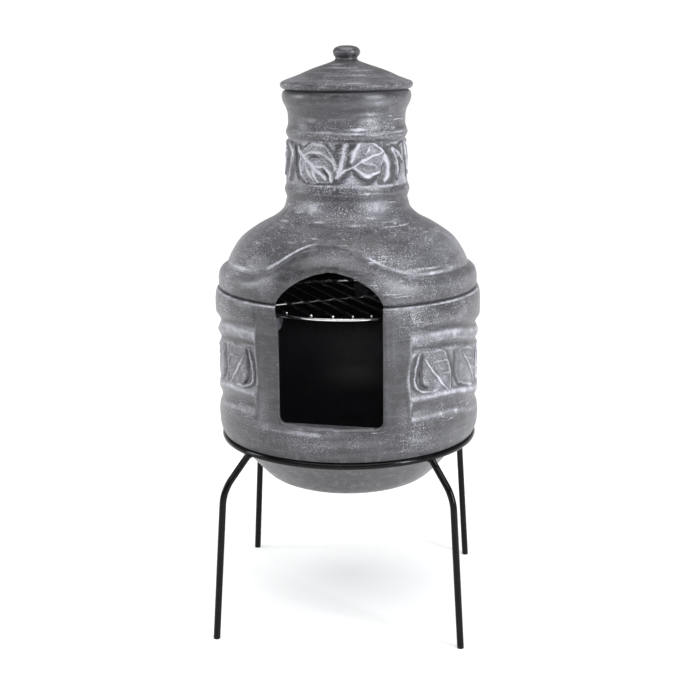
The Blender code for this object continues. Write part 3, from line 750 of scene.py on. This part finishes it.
def make_dome():
    azimuth = azimuths((0, 60, 0.6), (60, 180, 0.9))
    degrees = np.degrees(azimuth)
    turn = degrees - HOOD_CENTRE
    half_angle = np.where(turn < 0, *HOOD_HALF_ANGLES)
    share = np.exp(-(np.abs(turn) / half_angle) ** np.where(turn < 0, *HOOD_FLATNESS))

    # Shoulder, down to the crease over the hood and the belt.
    curve = catmull(SHOULDER, 0.0004)
    along = np.concatenate([[0.0], np.cumsum(np.hypot(*np.diff(curve, axis=0).T))])
    begin = np.interp(-SHOULDER_TOP, -curve[:, 0], along)
    crease = BELT_EDGE[0][1] + (HOOD_EDGE[0][1] - BELT_EDGE[0][1]) * share
    end = np.interp(-crease, -curve[:, 0], along)
    steps = np.linspace(0.0, 1.0, 44)[:, None]
    steps = steps - 0.05 * np.sin(2 * np.pi * steps) / np.pi
    reach = begin + (end - begin) * steps
    flank_z = np.interp(reach, along, curve[:, 0])
    flank_r = np.interp(reach, along, curve[:, 1])
    flank_a = np.broadcast_to(azimuth, reach.shape)
    swell = np.sin(np.pi * steps) * 0.0009 * wobble(flank_a, flank_z, 3.4)
    to_crease = end - reach
    shown = np.where(turn < 0, smoothstep(0.0, 7.0, -turn), smoothstep(9.0, 18.0, turn))
    shown = shown * (0.8 + 0.2 * np.sin(0.17 * turn + 0.8))
    lipped = between(-38.0, -30.0, -13.0, -6.0, degrees) + between(12.0, 20.0, 32.0, 48.0, degrees)
    lip = ridge(to_crease - 0.0032, 0.0034) * most(lipped, 0.35 * shown)
    slack = 0.0022 * shown * ridge(to_crease, 0.0034)
    flank_wash_and_highlight = most(0.88 * lip * (0.85 + 0.15 * wobble(5.0 * flank_a, 0.2 * flank_z, 5.0)),
                       wash_and_highlight_patches(flank_a, flank_z, DOME_RUBS_AND_HIGHLIGHTS))
    # The crease under the lip is darkened with painted shade.
    flank = (place(flank_r + swell + 0.0009 * lip - slack, flank_a, flank_z + swell), flank_wash_and_highlight,
             0.5 * ridge(to_crease, 0.0018) * shown, speckled(flank_a, flank_z, DOME_SPECKS), 1)

    # Belt, which rises as a hood over the arch.
    side, front = catmull(BELT_EDGE, count=3), catmull(HOOD_EDGE, count=3)
    edge_r, z = (side[:, None, i] * (1 - share) + front[:, None, i] * share for i in (0, 1))
    brow = np.linspace(0.0, 1.0, len(side))[:, None]
    follow = 1.0 - smoothstep(0.0, 0.55, brow)
    base_r = np.interp(end, along, curve[:, 1]) - 0.0022 * shown
    edge_r = edge_r + (base_r - edge_r[0]) * follow
    z = z + (crease - z[0]) * follow
    a = np.broadcast_to(azimuth, z.shape)
    edge_r = edge_r + UNEVENNESS * wobble(a, z, 4.2) * smoothstep(0.493, 0.5, z)
    arched = shown * smoothstep(0.1, 0.45, share)
    edge_r = edge_r + 0.0016 * arched * (ridge(brow - 0.4, 0.13) - ridge(brow - 0.14, 0.1))
    over_split = smoothstep(0.4925, 0.515, z)
    rounding = doorway_rounding(a, edge_r, z, 0.007 + 0.006 * over_split, 0.006 + 0.0015 * over_split)
    edge_r = np.minimum(edge_r - rounding, BELT)
    paint = most(0.55 * ridge(brow - 0.16, 0.06) * shown * (0.5 + 0.5 * np.sin(0.11 * turn + 2.2)),
                 wash_and_highlight_patches(a, z, DOME_RUBS_AND_HIGHLIGHTS))
    # Painted shade: in the crease, in the valley under it, over the front of the hood, and lower on the
    # hood towards the arch.
    bare_and_shade = most(0.5 * ridge(brow, 0.03) * shown, 0.45 * arched * ridge(brow - 0.14, 0.09),
                  0.34 * ridge(turn, 42.0), 0.58 * smoothstep(0.45, 0.75, brow) * ridge(turn, 30.0))
    belt = (place(edge_r, a, z)[1:], paint[1:], bare_and_shade[1:], speckled(a, z, DOME_SPECKS)[1:], 1)

    parts = [make_chimney(azimuth), flank, belt, (rings(FLUE, azimuth), 0, 0, 0, 0)]
    return finish_clay("chimney_dome_clay", parts, [doorway_cutter()], closed_rows=True)


# Lid, as (radius, height).

LID_SIDE = [
    (0.002, LID_TOP), (0.007, LID_TOP - 0.0002), (0.0125, 0.8306), (0.0168, 0.8284), (0.0192, 0.825),
    (0.0194, 0.8222), (0.0182, 0.8186), (0.016, 0.8158), (0.0155, 0.8136), (0.0168, 0.8116),
    (0.0205, 0.8098), (0.029, 0.8066), (0.04, 0.8029), (0.052, 0.7988), (0.065, 0.7934), (0.078, 0.788),
    (0.088, 0.7846), (0.0925, 0.7824), (0.0946, 0.7798), (0.0946, 0.7768), (0.0932, 0.7742),
    (0.0905, 0.7726), (0.088, 0.7723),
]
LID_UNDER = [
    (0.075, 0.7723), (0.0635, 0.7723), (0.063, 0.7715), (0.0622, 0.765), (0.0614, LID_LOW.z),
    (0.0568, LID_LOW.z), (0.056, 0.765), (0.0545, 0.776), (0.044, 0.783), (0.03, 0.787), (0.015, 0.792),
    (0.002, 0.793),
]


def make_lid():
    azimuth = azimuths((0, 180, 1.5))
    profile = catmull(LID_SIDE, 0.0016)
    a, r = np.meshgrid(azimuth, profile[:, 0])
    z = np.broadcast_to(profile[:, 1][:, None], a.shape)
    lift = 0.0007 * between(0.015, 0.03, 0.086, 0.093, r) * wobble(a, 5.0 * r, 6.1)
    knob = 0.0007 * np.sin(a + 0.7) * smoothstep(0.815, 0.82, z) * smoothstep(0.004, 0.015, r)
    edge = 0.3 * ridge(z - 0.785, 0.003) * smoothstep(0.06, 0.08, r)
    # The lid's top is darkened evenly all over.
    parts = [(place(np.minimum(r + knob, LID_HIGH.x), a, z + lift), most(edge, wash_and_highlight_patches(a, z, LID_RUBS)),
              0.3, 0.6, 1),
             (rings(LID_UNDER, azimuth), 0, 0, 0, 0)]
    poles = [(0.0, 0.0, LID_TOP), (0.0, 0.0, LID_UNDER[-1][1])]
    return finish_clay("lid_clay", parts, poles=poles)


# Rods of the stand and the grill.

ROD_CHAMFER = 0.0006


def rod(name, path, radius, sides=20, flat_end=False):
    """A rod along the path with rounded ends, or a flat cut last end."""
    path = np.array(path, float)
    steps = np.diff(path, axis=0)
    steps /= np.linalg.norm(steps, axis=1)[:, None]
    ahead = np.vstack([steps[:1], steps[:-1] + steps[1:], steps[-1:]])
    ahead /= np.linalg.norm(ahead, axis=1)[:, None]
    bend = [math.pi / 2 * i / 4 for i in range(1, 4)]
    rows = [(path[0] - radius * math.cos(b) * ahead[0], ahead[0], radius * math.sin(b)) for b in bend]
    rows += [(point, way, radius) for point, way in zip(path, ahead)]
    if flat_end:
        down = np.array([0.0, 0.0, -1.0])
        rows[-1] = (path[-1] - ROD_CHAMFER * down, down, radius)
        rows.append((path[-1], down, radius - ROD_CHAMFER))
    else:
        rows += [(path[-1] + radius * math.cos(b) * ahead[-1], ahead[-1], radius * math.sin(b))
                 for b in reversed(bend)]
    side = np.cross(ahead[0], (0.0, 0.0, 1.0))
    if np.linalg.norm(side) < 0.1:
        side = np.array([0.0, 1.0, 0.0])
    angles = 2 * np.pi * np.arange(sides)[:, None] / sides
    grid = []
    for centre, way, size in rows:
        side = side - way * np.dot(side, way)
        side /= np.linalg.norm(side)
        grid.append(centre + size * (np.cos(angles) * side + np.sin(angles) * np.cross(way, side)))
    last = path[-1] if flat_end else path[-1] + radius * ahead[-1]
    return smooth(skin(name, np.array(grid), poles=[path[0] - radius * ahead[0], last]))


def hoop(name, ring_radius, rod_radius, height, steps, sides):
    turn = 2 * np.pi * np.arange(steps)[:, None] / steps
    angle = 2 * np.pi * np.arange(sides) / sides
    r = ring_radius + rod_radius * np.cos(angle)
    z = height + rod_radius * np.sin(angle)
    grid = np.stack(np.broadcast_arrays(r * np.cos(turn), r * np.sin(turn), z), axis=-1)
    return smooth(skin(name, grid, closed_rows=True))


ROD_RADIUS = (RING_HIGH.z - RING_LOW.z) / 2
RING_RADIUS = RING_HIGH.x - ROD_RADIUS
RING_HEIGHT = (RING_HIGH.z + RING_LOW.z) / 2
STAND_TURN = 2.0  # degrees
LEG_PLACES = {"leg_front_left": -135, "leg_front_right": -45, "leg_back_right": 45, "leg_back_left": 135}
LEG_TOP = Vector((0.1835, 0.2655))
LEG_SLOPE = math.radians(45.0)
LEG_SPLAY = math.radians(4.86)
LEG_FOOT = Vector((0.248, 0.0))
LEG_BEND_RADIUS = 0.055
LEG_BEND_STEPS = 20


def leg_path():
    """The leg's centre line as (radius, height), from its weld to the ground."""
    upper = Vector((math.sin(LEG_SLOPE), -math.cos(LEG_SLOPE)))
    lower = Vector((math.sin(LEG_SPLAY), -math.cos(LEG_SPLAY)))
    cross = upper.x * lower.y - upper.y * lower.x
    span = LEG_FOOT - LEG_TOP
    corner = LEG_TOP + (span.x * lower.y - span.y * lower.x) / cross * upper
    turn = LEG_SLOPE - LEG_SPLAY
    start = corner - LEG_BEND_RADIUS * math.tan(turn / 2) * upper
    centre = start + LEG_BEND_RADIUS * Vector((upper.y, -upper.x))
    points = [LEG_TOP, LEG_TOP.lerp(start, 0.5)]
    for i in range(LEG_BEND_STEPS + 1):
        points.append(centre + Matrix.Rotation(-turn * i / LEG_BEND_STEPS, 2) @ (start - centre))
    bend_end = points[-1]
    return points + [bend_end.lerp(LEG_FOOT, share) for share in (0.1, 0.4, 0.7, 0.97, 1.0)]


def make_weld(name, radial, tangent, seed):
    """A bead of weld where a leg meets the ring."""
    shape = bmesh.new()
    bmesh.ops.create_icosphere(shape, subdivisions=4, radius=1.0)
    centre = radial * (LEG_TOP.x + 0.0012) + Vector((0, 0, LEG_TOP.y - 0.0012))
    along = (radial * math.sin(LEG_SLOPE) - Vector((0, 0, math.cos(LEG_SLOPE)))).normalized()
    across = along.cross(tangent)
    spread = Matrix((tangent * 0.0072, across * 0.0058, along * 0.0042)).transposed()
    for vert in shape.verts:
        lump = 1.0 + 0.1 * noise.noise(vert.co * 2.3 + Vector((seed, 0, 0)))
        vert.co = centre + spread @ (vert.co * lump)
    return shape_object(name, shape)


def settle(piece, finish, body, slot, *nodes):
    piece.data.materials.clear()
    piece.data.materials.append(finish)
    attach(piece, body)
    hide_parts(*nodes)


def make_stand(finish):
    ring = hoop("stand_ring_rod", RING_RADIUS, ROD_RADIUS, RING_HEIGHT, 240, 24)
    settle(ring, finish, "stand", "stand_paint", "stand_ring")
    for index, (node, degrees) in enumerate(LEG_PLACES.items()):
        angle = math.radians(degrees + STAND_TURN)
        radial = Vector((math.cos(angle), math.sin(angle), 0.0))
        tangent = Vector((-math.sin(angle), math.cos(angle), 0.0))
        path = [tuple(radial * p.x + Vector((0, 0, p.y))) for p in leg_path()]
        leg = rod(node + "_source", path, ROD_RADIUS, sides=24, flat_end=True)
        leg = carve(leg, node + "_rod", joins=[make_weld(node + "_weld", radial, tangent, index)])
        settle(leg, finish, "stand", "stand_paint", node)


def make_grill(finish):
    ring_rod = (GRILL_HIGH.z - GRILL_LOW.z) / 2
    height = (GRILL_HIGH.z + GRILL_LOW.z) / 2
    ring = hoop("grill_ring_rod", GRILL_HIGH.x - ring_rod, ring_rod, height, 200, 16)
    settle(ring, finish, "grill", "grill_chrome", "grill_ring")
    wires = [node for node in sorted(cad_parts) if node.startswith("grill_wire_")]
    for node in wires + ["grill_crossbar"]:
        low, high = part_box(node)
        radius = (high.z - low.z) / 2
        middle = (low + high) / 2
        half = Vector((high.x - low.x, high.y - low.y, 0.0)) / 2
        if node != "grill_crossbar":
            half.x = -half.x
        half = half.normalized() * (half.length - 1.4 * radius)
        path = [tuple(middle + half * t) for t in np.linspace(-1.0, 1.0, 9)]
        settle(rod(node + "_rod", path, radius, sides=14), finish, "grill", "grill_chrome", node)


# Materials.

class Shader:
    """The node tree of a material or of the world, built up call by call."""

    def __init__(self, owner, surface="BSDF_PRINCIPLED"):
        owner.use_nodes = True
        self.owner = owner
        self.tree = owner.node_tree
        self.surface = next(n for n in self.tree.nodes if n.type == surface)
        self.object = self.wire("TexCoord", {}, "Object")

    def put(self, socket, value):
        if isinstance(value, bpy.types.NodeSocket):
            self.tree.links.new(value, socket)
        else:
            socket.default_value = value

    def set(self, name, value):
        self.put(self.surface.inputs[name], value)

    def wire(self, kind, values, output=0, **settings):
        """Adds a node with its settings and inputs, and returns one of its outputs."""
        made = self.tree.nodes.new("ShaderNode" + kind)
        for key, setting in settings.items():
            setattr(made, key, setting)
        for name, value in values.items():
            self.put(made.inputs[name], value)
        return made.outputs[output]

    def scaled(self, *scale):
        return self.wire("Mapping", {"Vector": self.object, "Scale": scale})

    def noise(self, scale, detail, roughness, vector=None, distortion=0.0):
        values = {"Vector": vector or self.object, "Scale": scale, "Detail": detail,
                  "Roughness": roughness, "Distortion": distortion}
        return self.wire("TexNoise", values, "Fac")

    def math(self, operation, a, b):
        return self.wire("Math", {0: a, 1: b}, operation=operation)

    def plus(self, a, b):
        return self.math("ADD", a, b)

    def times(self, a, b):
        return self.math("MULTIPLY", a, b)

    def centred(self, value, middle, weight):
        return self.times(self.math("SUBTRACT", value, middle), weight)

    def step(self, value, low, high, to_low=0.0, to_high=1.0, interpolation="SMOOTHSTEP"):
        values = dict(enumerate((value, low, high, to_low, to_high)))
        return self.wire("MapRange", values, interpolation_type=interpolation)

    def mix(self, share, a, b):
        return self.wire("Mix", {0: share, 6: a, 7: b}, 2, data_type="RGBA")

    def bump(self, height, distance, strength, *normal):
        values = {"Height": height, "Distance": distance, "Strength": strength}
        return self.wire("Bump", values | {"Normal": under for under in normal})


def clay_material():
    s = Shader(bpy.data.materials.new("grey_clay"))
    paint, bare_and_shade, soot_and_shade, speckle = (s.wire("Attribute", {}, "Fac", attribute_name=name)
                                    for name in ("paint", "bare_and_shade", "soot_and_shade", "speckle"))
    patchy = s.noise(8.0, 4.0, 0.6)
    clouds = s.noise(21.0, 5.0, 0.62, distortion=0.4)
    lumps = s.noise(46.0, 3.0, 0.6)
    grain = s.noise(590.0, 4.0, 0.75)
    crumbs = s.noise(620.0, 2.0, 0.5)
    drag = s.noise(1.0, 4.0, 0.68, s.scaled(22.0, 22.0, 300.0))
    sweep = s.noise(1.0, 5.0, 0.6, s.scaled(6.0, 6.0, 60.0))
    brushed = s.noise(1.0, 5.0, 0.72, s.scaled(70.0, 70.0, 190.0))
    upright = s.noise(1.0, 4.0, 0.62, s.scaled(95.0, 95.0, 8.0))

    base = s.mix(s.step(clouds, 0.34, 0.66), (0.022, 0.0215, 0.0245, 1), (0.042, 0.0415, 0.047, 1))
    for field, low, high, share, tint in ((sweep, 0.45, 0.68, 0.6, (0.104, 0.103, 0.118, 1)),
                                          (crumbs, 0.56, 0.72, 0.5, (0.022, 0.022, 0.025, 1)),
                                          (brushed, 0.49, 0.62, 0.46, (0.122, 0.121, 0.137, 1))):
        base = s.mix(s.times(s.step(field, low, high), share), base, tint)
    # A smooth light tint where the paint field is high, which also lays on the painted highlights.
    base = s.mix(s.step(paint, 0.0, 0.6, 0.0, 0.5), base, (0.23, 0.229, 0.26, 1))

    # Limewash: heavy on the relief and on the painted highlights, and dry-brushed in specks and drags
    # elsewhere.
    broken = s.plus(s.centred(grain, 0.5, 1.5), s.centred(lumps, 0.52, 1.2))
    heavy = s.times(s.step(s.plus(paint, broken), 0.3, 0.85), s.step(paint, 0.03, 0.25))
    dense = s.times(s.step(patchy, 0.4, 0.64), 0.06)
    dense = s.plus(dense, s.times(s.step(clouds, 0.42, 0.68), 0.045))
    dense = s.plus(dense, s.centred(speckle, 0.35, 0.15))
    specks = s.step(s.plus(grain, dense), 0.642, 0.674)
    drags = s.step(s.plus(drag, s.times(dense, 0.7)), 0.68, 0.735)
    light = s.math("MAXIMUM", s.times(specks, 0.68), s.times(drags, 0.66))
    wash = s.math("MAXIMUM", s.times(heavy, 0.81), light)
    colour = s.mix(wash, base, (0.588, 0.582, 0.652, 1))

    # Bare clay and painted shade in recesses, under the bowl and on parts of the neck and hood, with
    # upright brush marks, and dark scored lines.
    colour = s.mix(s.times(bare_and_shade, 0.78), colour, (0.026, 0.026, 0.03, 1))
    marks = s.times(s.times(s.step(upright, 0.5, 0.66), bare_and_shade), 0.34)
    colour = s.mix(marks, colour, (0.18, 0.179, 0.2, 1))
    scored = s.times(s.step(drag, 0.33, 0.42, 1.0, 0.0), s.step(bare_and_shade, 0.0, 0.6, 0.35, 0.85))
    colour = s.mix(scored, colour, (0.016, 0.016, 0.018, 1))

    # Soot inside: above 1 the wall is near black, with char and painted shade.
    smoke_and_shade = s.step(s.plus(soot_and_shade, s.centred(clouds, 0.5, 0.25)), 0.35, 0.75)
    black = s.mix(s.step(soot_and_shade, 1.0, 1.5), (0.088, 0.083, 0.1, 1), (0.001, 0.001, 0.001, 1))
    s.set("Base Color", s.mix(smoke_and_shade, colour, black))

    gloss = s.plus(s.step(clouds, 0.35, 0.7, 0.3, 0.42), s.times(wash, 0.2))
    s.set("Roughness", s.plus(gloss, s.step(soot_and_shade, 1.0, 1.4, 0.0, 0.6)))
    s.set("Specular IOR Level", 0.65)
    s.set("Sheen Weight", 0.1)
    s.set("Sheen Roughness", 0.45)
    normal = s.bump(drag, 0.0004, 0.5)
    normal = s.bump(lumps, 0.0012, 0.25, normal)
    normal = s.bump(grain, 0.0004, 0.45, normal)
    s.set("Normal", s.bump(wash, 0.0004, 0.7, normal))
    return s.owner


def stand_material():
    s = Shader(bpy.data.materials.new("gloss_black_paint"))
    peel = s.noise(420.0, 2.0, 0.5)
    dust = s.noise(60.0, 4.0, 0.6)
    dusty = s.step(dust, 0.45, 0.75)
    s.set("Base Color", s.mix(dusty, (0.003, 0.003, 0.0033, 1), (0.0065, 0.0065, 0.007, 1)))
    s.set("Roughness", s.step(dust, 0.35, 0.7, 0.1, 0.18))
    s.set("Specular IOR Level", 0.15)
    s.set("Normal", s.bump(peel, 0.0002, 0.35))
    return s.owner


def chrome_material():
    s = Shader(bpy.data.materials.new("bright_chrome"))
    haze = s.noise(140.0, 3.0, 0.6)
    s.set("Base Color", s.mix(s.step(haze, 0.4, 0.75), (0.8, 0.8, 0.81, 1), (0.62, 0.61, 0.6, 1)))
    s.set("Metallic", 1.0)
    s.set("Roughness", s.step(haze, 0.35, 0.75, 0.1, 0.24))
    s.set("Normal", s.bump(haze, 0.0001, 0.3))
    return s.owner


def floor_material():
    s = Shader(bpy.data.materials.new("pale_floor"))
    s.set("Base Color", (0.62, 0.62, 0.62, 1))
    s.set("Emission Color", (1.0, 1.0, 1.0, 1))
    s.set("Emission Strength", 0.42)
    s.set("Roughness", 0.75)
    s.set("Specular IOR Level", 0.2)
    return s.owner


# Camera, floor and light.

CAMERA_AZIMUTH = math.radians(8.0)
CAMERA_DISTANCE = 1.937
CAMERA_HEIGHT = 0.856
CAMERA_PITCH = math.radians(13.55)
CAMERA_ROLL = math.radians(-0.41)


def stand_off(azimuth, distance, height):
    """A point at the distance from the body's axis, out towards the azimuth."""
    return Vector((distance * math.sin(azimuth), -distance * math.cos(azimuth), height))


def add_camera():
    camera = add_object("camera", bpy.data.cameras.new("camera"))
    camera.data.sensor_width = 36.0
    camera.data.lens = 68.76
    camera.data.shift_x = 0.0024
    camera.data.clip_start = 0.05
    eye = stand_off(CAMERA_AZIMUTH, CAMERA_DISTANCE, CAMERA_HEIGHT)
    turn = Matrix.Rotation(CAMERA_AZIMUTH, 4, "Z") @ Matrix.Rotation(math.pi / 2 - CAMERA_PITCH, 4, "X")
    camera.matrix_world = Matrix.Translation(eye) @ turn @ Matrix.Rotation(CAMERA_ROLL, 4, "Z")
    bpy.context.scene.camera = camera


def add_softbox(name, azimuth, distance, height, size, power):
    light = add_object(name, bpy.data.lights.new(name, "AREA"))
    light.data.shape = "RECTANGLE"
    light.data.size, light.data.size_y = size
    light.data.energy = power
    light.data.color = (0.94, 0.97, 1.0)
    light.location = stand_off(math.radians(azimuth), distance, height)
    aim = Vector((0.0, 0.0, 0.5)) - light.location
    light.rotation_euler = aim.to_track_quat("-Z", "Y").to_euler()


def add_world():
    """White all round, dimmer overhead and behind."""
    s = Shader(bpy.data.worlds.new("studio"), "BACKGROUND")
    bpy.context.scene.world = s.owner
    y, z = (s.wire("SeparateXYZ", {0: s.wire("TexCoord", {}, "Generated")}, axis) for axis in "YZ")
    fade = s.step(z, 0.03, 0.3, 1.05, 0.22)
    front = s.step(y, -0.9, 0.1, 0.95, 1.0, "LINEAR")
    s.set("Color", (1.0, 1.0, 1.0, 1.0))
    s.set("Strength", s.times(fade, front))


def add_studio():
    bpy.ops.mesh.primitive_circle_add(vertices=96, radius=9.0, fill_type="NGON", location=(0.0, 0.0, 0.0))
    floor = bpy.context.object
    floor.name = "studio_floor"
    floor.data.materials.append(floor_material())
    add_softbox("softbox_left", -86.0, 1.9, 1.05, (0.3, 0.9), 12.0)
    add_softbox("softbox_right", 58.0, 1.9, 1.05, (0.35, 1.0), 30.0)
    sun = add_object("overhead", bpy.data.lights.new("overhead", "SUN"))
    sun.data.energy = 2.7
    sun.data.angle = math.radians(70.0)
    sun.rotation_euler = (math.radians(12.0), 0.0, math.radians(8.0))
    add_world()
    bpy.context.scene.view_settings.view_transform = "Standard"


add_camera()
add_studio()
clay = clay_material()
settle(make_bowl(), clay, "bowl", "clay", "fire_bowl")
settle(make_dome(), clay, "dome", "clay", "chimney_dome")
settle(make_lid(), clay, "lid", "clay", "lid")
make_stand(stand_material())
make_grill(chrome_material())
